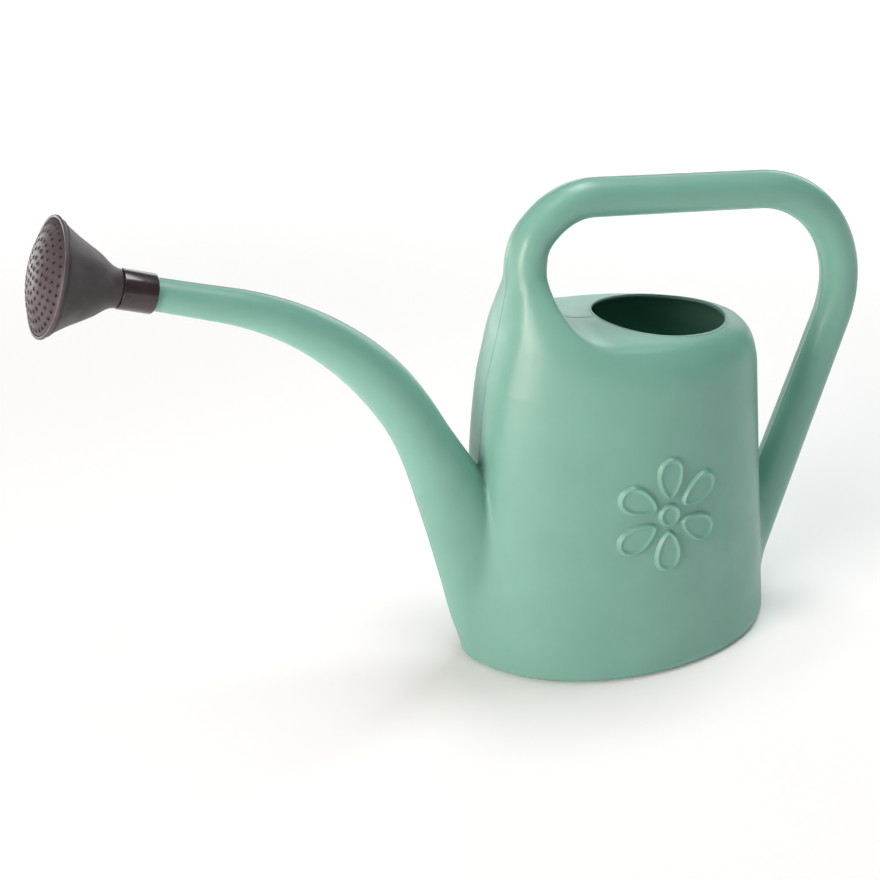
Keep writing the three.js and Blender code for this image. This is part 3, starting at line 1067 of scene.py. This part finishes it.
@dataclass
class CanMoulding:
    """The one hollow moulding: body, deck, handle and spout, with its open mouth and spout end."""

    tank: Tank = field(default_factory=Tank)
    handle: Handle = field(default_factory=Handle)
    spout: Spout = field(default_factory=Spout)
    blossom: Blossom = field(default_factory=Blossom)
    wall: float = 2.0
    pitch: float = 2.6
    inner_pitch: float = 4.2
    relief_cuts: int = 4
    relief_rounds: int = 8
    mouth_x: float = 20.0
    mouth_half_length: float = 44.8
    mouth_half_width: float = 37.3
    lip_radius: float = 1.3
    seam_radius: float = 0.32
    seam_sunk: float = 0.1
    seam_step: float = 2.5
    seam_from_mouth: float = 2.4
    seam_over_base: float = 0.6
    crease_degrees: float = 35.0
    low: Point = (-331.0, -76.0, -3.9)
    high: Point = (178.0, 76.0, 328.0)

    def __post_init__(self) -> None:
        """Lays out the centrelines once."""
        self.handle_path = self.handle.path(self.tank)
        self.spout_path = self.spout.path(self.tank)
        self.collar_at = self.spout_path.length
        self.spout_path.run(self.spout.overrun)

    def plain(self, p: Array) -> Array:
        """The outside without the relief.

        Args:
            p: points, one in a row.

        Returns:
            About the distance to the skin, negative inside.
        """
        x, y, z = p.T
        form = self.tank.distance(p)
        along, side, past = self.handle_path.nearest(x, z)
        radius = self.handle.radius.at(along)
        form = smooth_min(form, ellipse_distance(side, y, radius, radius, past), self.handle.blend)
        along, side, past = self.spout_path.nearest(x, z)
        back = self.collar_at - along
        tube = ellipse_distance(side, y, self.spout.deep.at(back), self.spout.wide.at(back), past)
        width = mix(self.spout.root_blend, self.spout.blend, ease(z, *self.spout.blend_between))
        return smooth_max(smooth_min(form, tube, width), -z, self.tank.base_edge)

    def outside(self, p: Array) -> Array:
        """The outside with the relief."""
        return self.plain(p) - self.blossom.height(p)

    def inside(self, p: Array) -> Array:
        """The inner face of the wall."""
        return self.plain(p) + self.wall

    def outer_skin(self) -> bpy.types.Object:
        """The outer face, finer where the relief stands.

        Returns:
            The face as a closed mesh.
        """
        points, quads = skin(self.plain, self.low, self.high, self.pitch)
        points = evened(self.plain, settled(self.plain, points), quads)
        made = mesh_object("can_moulding", points, quads)
        work = bmesh.new()
        work.from_mesh(made.data)
        middle, reach = self.blossom, self.blossom.reach()
        region = [
            f
            for f in work.faces
            if f.calc_center_median().y < middle.side
            and math.hypot(f.calc_center_median().x - middle.x, f.calc_center_median().z - middle.z) < reach
        ]
        edges = list(dict.fromkeys(e for f in region for e in f.edges))
        bmesh.ops.subdivide_edges(work, edges=edges, cuts=self.relief_cuts, use_grid_fill=True)
        work.to_mesh(made.data)
        work.free()
        points = positions(made.data)
        apart = np.hypot(points[:, 0] - middle.x, points[:, 2] - middle.z)
        near = (apart < reach + 4) & (points[:, 1] < middle.side)
        flush = settled(self.plain, points[near], 3)
        out = gradient(self.plain, flush)
        out /= np.linalg.norm(out, axis=1)[:, None]
        points[near] = flush
        for _ in range(self.relief_rounds):
            points[near] = flush + self.blossom.height(points[near])[:, None] * out
        place(made.data, points)
        return made

    def inner_skin(self) -> bpy.types.Object:
        """The inner face, turned inwards.

        Returns:
            The face as a closed mesh.
        """
        points, quads = skin(self.inside, self.low, self.high, self.inner_pitch)
        points = evened(self.inside, settled(self.inside, points), quads, 1)
        return mesh_object("inner_skin", points, quads[:, ::-1])

    def mouth_frame(self) -> Matrix:
        """The middle of the mouth, with Z square to the deck and X along it.

        Returns:
            The place and direction as a matrix.
        """
        slope = math.radians(self.tank.deck_slope)
        height = float(self.tank.deck(np.array(self.mouth_x), np.array(0.0)))
        return Matrix.Translation((self.mouth_x, 0.0, height)) @ Matrix.Rotation(slope, 4, "Y")

    def mouth_ring(self, extra: float, sides: int) -> Array:
        """Points of the mouth's oval in its own frame, moved outwards by a distance.

        Args:
            extra: how far the oval is moved outwards.
            sides: how many points it has.

        Returns:
            The points, one in a row.
        """
        angles = np.arange(sides) * 2 * math.pi / sides
        across = self.mouth_half_length + extra, self.mouth_half_width + extra
        return np.stack([across[0] * np.cos(angles), across[1] * np.sin(angles), 0 * angles], 1)

    def mouth_cutter(self) -> bpy.types.Object:
        """A tall oval prism through the deck.

        Returns:
            The prism.
        """
        ring = self.mouth_ring(0.0, 128)
        points = np.concatenate([ring - (0, 0, 22), ring + (0, 0, 14)])
        n = len(ring)
        faces = [tuple(range(n))[::-1], tuple(range(n, 2 * n))]
        faces += [(i, (i + 1) % n, n + (i + 1) % n, n + i) for i in range(n)]
        made = mesh_object("mouth_cutter", points, faces)
        made.data.transform(self.mouth_frame())
        return made

    def spout_cutter(self) -> bpy.types.Object:
        """A disc that takes off the spout where the collar starts.

        Returns:
            The disc.
        """
        points, faces = revolved([(0.0, 0.0), (20.0, 0.0), (20.0, 45.0), (0.0, 45.0)], 48)
        made = mesh_object("spout_cutter", points, faces)
        made.data.transform(self.spout.frame(self.tank))
        outward(made)
        return made

    def spigot(self) -> bpy.types.Object:
        """The plain tube that the collar pushes onto.

        Returns:
            The tube.
        """
        s = self.spout
        outline = softened(
            [
                (s.spigot_bore, -s.spigot_root, 0.0),
                (s.spigot_radius, -s.spigot_root, 0.0),
                (s.spigot_radius, s.spigot_length, 0.7),
                (s.spigot_bore, s.spigot_length, 0.5),
            ]
        )
        made = mesh_object("spigot", *revolved(outline, 48))
        made.data.transform(self.spout.frame(self.tank))
        outward(made)
        return made

    def lip(self) -> bpy.types.Object:
        """The rounded bead that the trimmed edge of the mouth is melted into.

        Returns:
            The bead.
        """
        ring = self.mouth_ring(1.0, 160)
        frame = np.array(self.mouth_frame())
        path = ring @ frame[:3, :3].T + frame[:3, 3]
        up = frame[:3, 2]
        for _ in range(5):
            path = path - (self.plain(path) + self.wall / 2)[:, None] * up
        n = len(path)
        pairs = np.stack([np.arange(n), (np.arange(n) + 1) % n], 1)
        return swept("mouth_lip", path, pairs, self.lip_radius, 10, 1.5)

    def seam(self, skin_mesh: bpy.types.Mesh) -> bpy.types.Object:
        """The fine raised line that the two halves of the mould leave.

        Args:
            skin_mesh: the outer face, before any cut.

        Returns:
            The bead, along the outline in the middle plane.
        """
        work = bmesh.new()
        work.from_mesh(skin_mesh)
        parts = [*work.verts, *work.edges, *work.faces]
        bmesh.ops.bisect_plane(
            work, geom=parts, plane_co=(0, 0, 0), plane_no=(0, 1, 0), clear_outer=True, clear_inner=True
        )
        outline = bpy.data.meshes.new("outline")
        work.to_mesh(outline)
        work.free()
        points = settled(self.plain, positions(outline), 3)
        pairs = np.empty(len(outline.edges) * 2, np.int32)
        outline.edges.foreach_get("vertices", pairs)
        bpy.data.meshes.remove(outline)
        frame = np.array(self.spout.frame(self.tank))
        out = (points - frame[:3, 3]) @ frame[:3, 2]
        at_mouth = (np.abs(points[:, 0] - self.mouth_x) < self.mouth_half_length + self.seam_from_mouth) & (
            np.abs(points[:, 2] - self.tank.height) < 15
        )
        beyond = (out > -1.0) & (points[:, 0] < frame[0, 3] + 20)
        keep = ~at_mouth & ~beyond & (points[:, 2] > self.seam_over_base)
        pairs = pairs.reshape(-1, 2)
        pairs = pairs[keep[pairs].all(1)]
        slope = gradient(self.plain, points)
        slope /= np.linalg.norm(slope, axis=1)[:, None]
        path = points - slope * self.seam_sunk
        return swept("mould_seam", path, pairs, self.seam_radius, 6, self.seam_step)

    def shaded(self, made: bpy.types.Object, skins: int) -> None:
        """Gives the skins the exact normals of their form, and the rest smooth ones.

        Args:
            made: the whole moulding.
            skins: how many of its first faces belong to the two skins.
        """
        mesh = made.data
        mesh.shade_smooth()
        count = len(mesh.loops)
        corner = np.empty(count, np.int32)
        mesh.loops.foreach_get("vertex_index", corner)
        size = np.empty(len(mesh.polygons), np.int32)
        mesh.polygons.foreach_get("loop_total", size)
        face = np.repeat(np.arange(len(size)), size)
        flat = np.empty(len(size) * 3, np.float32)
        mesh.polygons.foreach_get("normal", flat)
        flat = flat.reshape(-1, 3).astype(float)
        centre = np.empty(len(size) * 3, np.float32)
        mesh.polygons.foreach_get("center", centre)
        centre = centre.reshape(-1, 3).astype(float)
        smooth = np.empty(len(mesh.vertices) * 3, np.float32)
        mesh.vertex_normals.foreach_get("vector", smooth)
        smooth = smooth.reshape(-1, 3).astype(float)
        points = positions(mesh)
        normal = smooth[corner]
        hard = (normal * flat[face]).sum(1) < math.cos(math.radians(self.crease_degrees))
        normal[hard] = flat[face[hard]]
        outer = gradient(self.outside, points)
        outer /= np.linalg.norm(outer, axis=1)[:, None] + 1e-9
        belongs = np.arange(len(size)) < skins
        outer_near = np.abs(self.outside(centre)) < 0.3
        inner_near = np.abs(self.inside(centre)) < 0.6
        faces_out = (flat * gradient(self.outside, centre)).sum(1) > 0.3
        faces_in = (flat * gradient(self.plain, centre)).sum(1) < -0.3
        on_outside = (belongs & outer_near & faces_out)[face]
        on_inside = (belongs & inner_near & faces_in)[face]
        normal[on_outside] = outer[corner[on_outside]]
        normal[on_inside] = -outer[corner[on_inside]]
        mesh.normals_split_custom_set(normal.tolist())

    def build(self) -> None:
        """Builds the moulding, dresses it and hands it over."""
        made, inner = self.outer_skin(), self.inner_skin()
        log.info("skins: %d and %d faces", len(made.data.polygons), len(inner.data.polygons))
        seam = self.seam(made.data)
        join(made, inner)
        carve(made, self.mouth_cutter())
        carve(made, self.spout_cutter())
        skins = len(made.data.polygons)
        for part in (self.spigot(), self.lip(), seam):
            join(made, part)
        self.shaded(made, skins)
        hand_over(
            made,
            Body.CAN,
            CAN_PLASTIC,
            "tank_body",
            "tank_deck",
            "spout",
            "handle_front_leg",
            "handle_grip",
            "handle_back_leg",
        )


def join(made: bpy.types.Object, part: bpy.types.Object) -> None:
    """Adds a part's mesh to the end of a piece's mesh and removes the part.

    Args:
        made: the piece.
        part: the part.
    """
    work = bmesh.new()
    work.from_mesh(made.data)
    work.from_mesh(part.data)
    work.to_mesh(made.data)
    work.free()
    bpy.data.objects.remove(part)


def group_input(tree: Any, name: str, kind: str) -> str:
    """Adds a named input to a geometry tree and gives its identifier."""
    return tree.interface.new_socket(name=name, in_out="INPUT", socket_type=kind).identifier


def with_tree(made: bpy.types.Object, tree: Any, values: dict[str, Any]) -> None:
    """Runs a geometry tree on an object and keeps the plain mesh it makes.

    Args:
        made: the object.
        tree: the tree.
        values: for each input's identifier, its value.
    """
    modifier = made.modifiers.new("geometry", "NODES")
    modifier.node_group = tree
    for identifier, value in values.items():
        modifier[identifier] = value
    applied(made)


def swept(
    name: str, points: Array, pairs: Array, radius: float, sides: int, step: float
) -> bpy.types.Object:
    """A bead that follows paths, made with Geometry Nodes.

    Args:
        name: the piece's name.
        points: the points of the paths.
        pairs: the two points of each stretch.
        radius: of the bead.
        sides: of its section.
        step: length of each stretch of the bead.

    Returns:
        The bead as a plain mesh.
    """
    mesh = bpy.data.meshes.new(name)
    mesh.from_pydata(points.tolist(), pairs.tolist(), [])
    made = bpy.data.objects.new(name, mesh)
    bpy.context.scene.collection.objects.link(made)
    tree = bpy.data.node_groups.new("bead_along_path", "GeometryNodeTree")
    group_input(tree, "Path", "NodeSocketGeometry")
    radius_id = group_input(tree, "Bead radius", "NodeSocketFloat")
    sides_id = group_input(tree, "Sides", "NodeSocketInt")
    step_id = group_input(tree, "Step", "NodeSocketFloat")
    plastic_id = group_input(tree, "Plastic", "NodeSocketMaterial")
    tree.interface.new_socket(name="Bead", in_out="OUTPUT", socket_type="NodeSocketGeometry")
    given = add(tree, "NodeGroupInput").outputs
    curve = add(tree, "GeometryNodeMeshToCurve", None, {"Mesh": given["Path"]}).outputs["Curve"]
    even = add(
        tree, "GeometryNodeResampleCurve", {"mode": "LENGTH"}, {"Curve": curve, "Length": given["Step"]}
    ).outputs["Curve"]
    section = add(
        tree,
        "GeometryNodeCurvePrimitiveCircle",
        None,
        {"Resolution": given["Sides"], "Radius": given["Bead radius"]},
    ).outputs["Curve"]
    bead = add(
        tree,
        "GeometryNodeCurveToMesh",
        None,
        {"Curve": even, "Profile Curve": section, "Fill Caps": True},
    ).outputs["Mesh"]
    real = add(tree, "GeometryNodeRealizeInstances", None, {"Geometry": bead}).outputs["Geometry"]
    coated = add(
        tree, "GeometryNodeSetMaterial", None, {"Geometry": real, "Material": given["Plastic"]}
    ).outputs["Geometry"]
    add(tree, "NodeGroupOutput", None, {"Bead": coated})
    sizes = {radius_id: radius, sides_id: sides, step_id: step}
    with_tree(made, tree, {**sizes, plastic_id: CAN_PLASTIC.material()})
    outward(made)
    return made


# ---------------------------------------------------------------- the rose


@dataclass
class Rose:
    """The spray rose: a collar on the spigot, a bell-shaped cone, and a domed face with holes."""

    frame: Matrix
    collar_length: float = 20.0
    collar_radius: float = 11.5
    collar_bore: float = 8.9
    neck_radius: float = 8.6
    neck_insert: float = 6.5
    waist_radius: float = 10.7
    wall: float = 1.8
    cone_length: float = 40.8
    rim_radius: float = 33.9
    rim_depth: float = 4.0
    face_wall: float = 1.6
    face_rise: float = 8.0
    fit: float = 0.3
    skirt: float = 3.0
    rings: int = 6
    ring_pitch: float = 4.9
    first_ring: int = 6
    hole_radius: float = 0.85
    nub_radius: float = 1.35
    nub_height: float = 0.22
    sides: int = 112

    @property
    def rim_at(self) -> float:
        """Where the rim ends, from the start of the collar."""
        return self.collar_length + self.cone_length

    def collar(self) -> None:
        """The glossy ring that joins spout and cone."""
        outline = softened(
            [
                (self.collar_bore, 0.0, 0.4),
                (self.collar_radius, 0.0, 0.9),
                (self.collar_radius, self.collar_length, 0.5),
                (self.collar_bore, self.collar_length, 0.3),
            ]
        )
        made = mesh_object("rose_collar_ring", *revolved(outline, 72))
        self.finish(made, Body.COLLAR, COLLAR_PLASTIC, "rose_collar")

    def cone(self) -> None:
        """The bell-shaped cone with its neck and its rim."""
        start, rim = self.collar_length, self.rim_at
        bell = Sizes(
            (0.0, 4.0, 13.6, 27.2, self.cone_length - 1.0),
            (self.waist_radius, 11.7, 17.9, 25.3, self.rim_radius - 0.5),
        )
        along = np.linspace(0.6, self.cone_length - 2.2, 22)
        inner_along = np.linspace(2.5, self.cone_length - self.rim_depth, 18)[::-1]
        lip = self.rim_radius - self.wall
        outline = [
            (self.neck_radius - self.wall, start - self.neck_insert),
            (self.neck_radius - 0.3, start - self.neck_insert),
            (self.neck_radius, start - self.neck_insert + 0.4),
            (self.neck_radius, start + 0.1),
            (self.waist_radius - 0.4, start + 0.1),
            (self.waist_radius - 0.08, start + 0.3),
            *[(float(bell.at(np.array(a))), start + a) for a in along],
            (self.rim_radius - 0.35, rim - 1.7),
            (self.rim_radius, rim - 1.2),
            (self.rim_radius, rim - 0.45),
            (self.rim_radius - 0.2, rim - 0.1),
            (self.rim_radius - 0.6, rim),
            (lip + 0.3, rim),
            (lip, rim - 0.3),
            (lip, rim - self.rim_depth),
            *[(min(lip, float(bell.at(np.array(a))) - self.wall), start + a) for a in inner_along],
            (self.neck_radius - self.wall, start + 0.6),
        ]
        made = mesh_object("rose_cone_shell", *revolved(outline, self.sides))
        self.finish(made, Body.ROSE_HEAD, ROSE_PLASTIC, "rose_cone")

    def dome_height(self, radius: float) -> float:
        """How far the dome stands over the rim at a radius.

        Args:
            radius: distance from the axis.

        Returns:
            The height.
        """
        edge = self.rim_radius - self.wall - self.fit
        round_ = (edge**2 + self.face_rise**2) / (2 * self.face_rise)
        return math.sqrt(round_**2 - radius**2) - (round_ - self.face_rise)

    def face(self) -> None:
        """The domed face, pierced by rings of spray holes that each have a fine raised edge."""
        edge = self.rim_radius - self.wall - self.fit
        inner = edge - self.face_wall
        shares = np.linspace(0, 1, 15)
        top = [(s * (edge - 0.4), self.rim_at + self.dome_height(s * (edge - 0.4))) for s in shares]
        under = [(s * inner, self.rim_at + self.dome_height(s * inner) - self.face_wall) for s in shares]
        outline = [
            *under,
            (inner, self.rim_at - self.skirt),
            (edge, self.rim_at - self.skirt),
            (edge, self.rim_at - 0.3),
            *top[::-1],
        ]
        made = mesh_object("rose_face_plate", *revolved(outline, self.sides))
        outward(made)
        tree, names = self.perforation()
        with_tree(
            made,
            tree,
            {
                names["Rings"]: self.rings,
                names["Ring pitch"]: self.ring_pitch,
                names["First ring"]: self.first_ring,
                names["Hole radius"]: self.hole_radius,
                names["Nub radius"]: self.nub_radius,
                names["Nub height"]: self.nub_height,
                names["Rim height"]: self.rim_at,
                names["Plastic"]: ROSE_PLASTIC.material(),
            },
        )
        self.finish(made, Body.ROSE_HEAD, ROSE_PLASTIC, "rose_face")

    def perforation(self) -> tuple[Any, dict[str, str]]:
        """The tree that pierces the face: rings of points, a drill and a nub at each of them.

        Returns:
            The tree, and the identifier of each of its named inputs.
        """
        tree = bpy.data.node_groups.new("perforated_face", "GeometryNodeTree")
        group_input(tree, "Face", "NodeSocketGeometry")
        kinds = {
            "Rings": "NodeSocketInt",
            "Ring pitch": "NodeSocketFloat",
            "First ring": "NodeSocketInt",
            "Hole radius": "NodeSocketFloat",
            "Nub radius": "NodeSocketFloat",
            "Nub height": "NodeSocketFloat",
            "Rim height": "NodeSocketFloat",
            "Plastic": "NodeSocketMaterial",
        }
        names = {name: group_input(tree, name, kind) for name, kind in kinds.items()}
        tree.interface.new_socket(name="Pierced face", in_out="OUTPUT", socket_type="NodeSocketGeometry")
        given = add(tree, "NodeGroupInput").outputs
        begin = add(tree, "GeometryNodeRepeatInput")
        end = add(tree, "GeometryNodeRepeatOutput")
        begin.pair_with_output(end)
        dot = add(tree, "GeometryNodeMeshCircle", None, {"Vertices": 3, "Radius": 0.0}).outputs[0]
        centre = add(
            tree, "GeometryNodeMergeByDistance", None, {"Geometry": dot, "Distance": 0.001}
        ).outputs[0]
        tree.links.new(given["Rings"], begin.inputs["Iterations"])
        tree.links.new(centre, begin.inputs["Geometry"])
        number = add(tree, "ShaderNodeMath", {"operation": "ADD"}, {0: begin.outputs["Iteration"], 1: 1.0})
        product = {"operation": "MULTIPLY"}
        many = add(tree, "ShaderNodeMath", product, {0: number.outputs[0], 1: given["First ring"]})
        far = add(tree, "ShaderNodeMath", product, {0: number.outputs[0], 1: given["Ring pitch"]})
        ring = add(
            tree,
            "GeometryNodeMeshCircle",
            None,
            {"Vertices": many.outputs[0], "Radius": far.outputs[0]},
        ).outputs["Mesh"]
        rings = add(tree, "GeometryNodeJoinGeometry")
        tree.links.new(ring, rings.inputs[0])
        tree.links.new(begin.outputs["Geometry"], rings.inputs[0])
        tree.links.new(rings.outputs[0], end.inputs["Geometry"])
        lift = add(tree, "ShaderNodeCombineXYZ", None, {"Z": given["Rim height"]}).outputs[0]
        spots = add(
            tree,
            "GeometryNodeSetPosition",
            None,
            {"Geometry": end.outputs["Geometry"], "Offset": lift},
        ).outputs[0]
        drill = add(
            tree,
            "GeometryNodeMeshCylinder",
            None,
            {"Vertices": 10, "Radius": given["Hole radius"], "Depth": 30.0},
        ).outputs["Mesh"]
        drills = add(
            tree, "GeometryNodeInstanceOnPoints", None, {"Points": spots, "Instance": drill}
        ).outputs[0]
        cutters = add(tree, "GeometryNodeRealizeInstances", None, {"Geometry": drills}).outputs[0]
        pierced = add(tree, "GeometryNodeMeshBoolean", {"operation": "DIFFERENCE"})
        tree.links.new(given["Face"], pierced.inputs["Mesh 1"])
        tree.links.new(cutters, pierced.inputs["Mesh 2"])
        down = add(tree, "ShaderNodeCombineXYZ", None, {"Z": -1.0}).outputs[0]
        above = add(tree, "ShaderNodeCombineXYZ", None, {"Z": 20.0}).outputs[0]
        high = add(tree, "GeometryNodeSetPosition", None, {"Geometry": spots, "Offset": above}).outputs[0]
        hit = add(
            tree,
            "GeometryNodeRaycast",
            None,
            {"Target Geometry": given["Face"], "Ray Direction": down, "Ray Length": 60.0},
        ).outputs
        upright = add(tree, "FunctionNodeAlignRotationToVector", {"axis": "Z"}, {"Vector": hit["Hit Normal"]})
        stored = add(
            tree,
            "GeometryNodeStoreNamedAttribute",
            {"data_type": "QUATERNION", "domain": "POINT"},
            {"Geometry": high, "Name": "lean", "Value": upright.outputs[0]},
        ).outputs[0]
        landed = add(
            tree,
            "GeometryNodeSetPosition",
            None,
            {"Geometry": stored, "Position": hit["Hit Position"]},
        ).outputs[0]
        lean = add(
            tree, "GeometryNodeInputNamedAttribute", {"data_type": "QUATERNION"}, {"Name": "lean"}
        ).outputs[0]
        kind = "GeometryNodeCurvePrimitiveCircle"
        edge = add(tree, kind, None, {"Resolution": 12, "Radius": given["Nub radius"]}).outputs[0]
        section = add(tree, kind, None, {"Resolution": 6, "Radius": given["Nub height"]}).outputs[0]
        nub = add(
            tree, "GeometryNodeCurveToMesh", None, {"Curve": edge, "Profile Curve": section}
        ).outputs[0]
        nubs = add(
            tree,
            "GeometryNodeInstanceOnPoints",
            None,
            {"Points": landed, "Instance": nub, "Rotation": lean},
        ).outputs[0]
        both = add(tree, "GeometryNodeJoinGeometry")
        tree.links.new(nubs, both.inputs[0])
        tree.links.new(pierced.outputs["Mesh"], both.inputs[0])
        real = add(tree, "GeometryNodeRealizeInstances", None, {"Geometry": both.outputs[0]}).outputs[0]
        coated = add(
            tree, "GeometryNodeSetMaterial", None, {"Geometry": real, "Material": given["Plastic"]}
        ).outputs[0]
        add(tree, "NodeGroupOutput", None, {"Pierced face": coated})
        return tree, names

    def finish(self, made: bpy.types.Object, body: Body, finish: Plastic, node: str) -> None:
        """Puts a turned piece on the spout's axis and hands it over.

        Args:
            made: the piece, turned about Z.
            body: the body it moves with.
            finish: its plastic.
            node: the model's node that it stands for.
        """
        outward(made)
        made.data.transform(self.frame)
        shade(made)
        hand_over(made, body, finish, node)

    def build(self) -> None:
        """Builds the three pieces of the rose."""
        self.collar()
        self.cone()
        self.face()


# ---------------------------------------------------------------- the studio


@dataclass(frozen=True)
class Lamp:
    """A soft rectangular lamp that looks at a point."""

    name: str
    at: Point
    towards: Point
    size: tuple[float, float]
    watts: float
    colour: str = "FFFFFF"

    def build(self) -> None:
        """Hangs the lamp."""
        data = bpy.data.lights.new(self.name, "AREA")
        data.shape, data.size, data.size_y = "RECTANGLE", *self.size
        data.energy, data.color = self.watts, linear(self.colour)[:3]
        lamp = bpy.data.objects.new(self.name, data)
        lamp.location = self.at
        lamp.visible_camera = False
        lamp.rotation_euler = (Vector(self.towards) - Vector(self.at)).to_track_quat("-Z", "Y").to_euler()
        bpy.context.scene.collection.objects.link(lamp)


@dataclass(frozen=True)
class Studio:
    """A pale floor that glows as painted light, soft lamps round the object, an even surround, and the
    camera.
    """

    floor_half: float = 9.0
    # Painted light: the floor's own glow, faint near the object and strong towards the far edge.
    floor_glow: float = 0.07
    far_glow: float = 0.9
    glow_from: float = 0.5
    glow_to: float = 2.4
    surround: float = 0.12
    camera_at: Point = (-0.5359, -0.8945, 0.6521)
    camera_towards: Point = (-0.1329, 0.0, 0.1546)
    lens: float = 72.08
    shift: float = 0.0193
    lamps: tuple[Lamp, ...] = (
        Lamp("top_lamp", (0.42, 0.12, 1.9), (0.0, 0.0, 0.15), (1.0, 0.6), 20.0),
        Lamp("front_lamp", (-0.4, -0.45, 1.5), (0.0, 0.0, 0.15), (0.4, 0.4), 3.0),
        Lamp("key_lamp", (-1.4, -0.5, 0.48), (-0.02, 0.0, 0.15), (0.5, 1.0), 20.0, "FFE6E2"),
        Lamp("back_lamp", (1.15, 1.5, 0.8), (0.05, 0.0, 0.2), (2.2, 0.8), 13.0),
        Lamp("rose_lamp", (-0.85, 1.25, 0.16), (-0.36, 0.0, 0.31), (0.5, 0.25), 3.2),
    )

    def build(self) -> None:
        """Builds the studio."""
        half = self.floor_half
        corners = np.array([(-half, -half, 0), (half, -half, 0), (half, half, 0), (-half, half, 0)])
        floor = mesh_object("floor", corners, [(0, 1, 2, 3)])
        floor.data.materials.append(self.paper())
        world = bpy.data.worlds.new("even_surround")
        world.use_nodes = True
        world.node_tree.nodes["Background"].inputs["Color"].default_value = linear("FFFFFF")
        world.node_tree.nodes["Background"].inputs["Strength"].default_value = self.surround
        bpy.context.scene.world = world
        for lamp in self.lamps:
            lamp.build()
        bpy.context.scene.view_settings.view_transform = "Standard"
        data = bpy.data.cameras.new("camera")
        data.sensor_width, data.lens, data.shift_y = 36.0, self.lens, self.shift
        data.clip_start, data.clip_end = 0.05, 60.0
        camera = bpy.data.objects.new("camera", data)
        camera.location = self.camera_at
        way = Vector(self.camera_towards) - Vector(self.camera_at)
        camera.rotation_euler = way.to_track_quat("-Z", "Y").to_euler()
        bpy.context.scene.collection.objects.link(camera)
        bpy.context.scene.camera = camera

    def paper(self) -> bpy.types.Material:
        """Matt white studio paper with painted light: it glows faintly near the object, and more and more
        towards its far edge.

        Returns:
            The material.
        """
        material = bpy.data.materials.new("matt_white_paper_painted_glow")
        material.use_nodes = True
        tree = material.node_tree
        where = add(tree, "ShaderNodeTexCoord").outputs["Object"]
        far = add(tree, "ShaderNodeVectorMath", {"operation": "LENGTH"}, {0: where}).outputs["Value"]
        glow = add(
            tree,
            "ShaderNodeMapRange",
            {"interpolation_type": "SMOOTHSTEP"},
            {
                "Value": far,
                "From Min": self.glow_from,
                "From Max": self.glow_to,
                "To Min": self.floor_glow,
                "To Max": self.far_glow,
            },
        ).outputs["Result"]
        surface = tree.nodes["Principled BSDF"].inputs
        surface["Base Color"].default_value = linear("F7F9F8")
        surface["Roughness"].default_value = 0.9
        surface["Specular IOR Level"].default_value = 0.1
        surface["Emission Color"].default_value = linear("FFFFFF")
        tree.links.new(glow, surface["Emission Strength"])
        return material


def main() -> None:
    """Builds the can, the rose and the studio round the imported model."""
    logging.basicConfig(level=logging.INFO, format="%(name)s: %(message)s")
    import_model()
    can = CanMoulding()
    can.build()
    Rose(can.spout.frame(can.tank)).build()
    Studio().build()
    log.info("the can, the rose and the studio are built")


if __name__ == "__main__":
    main()
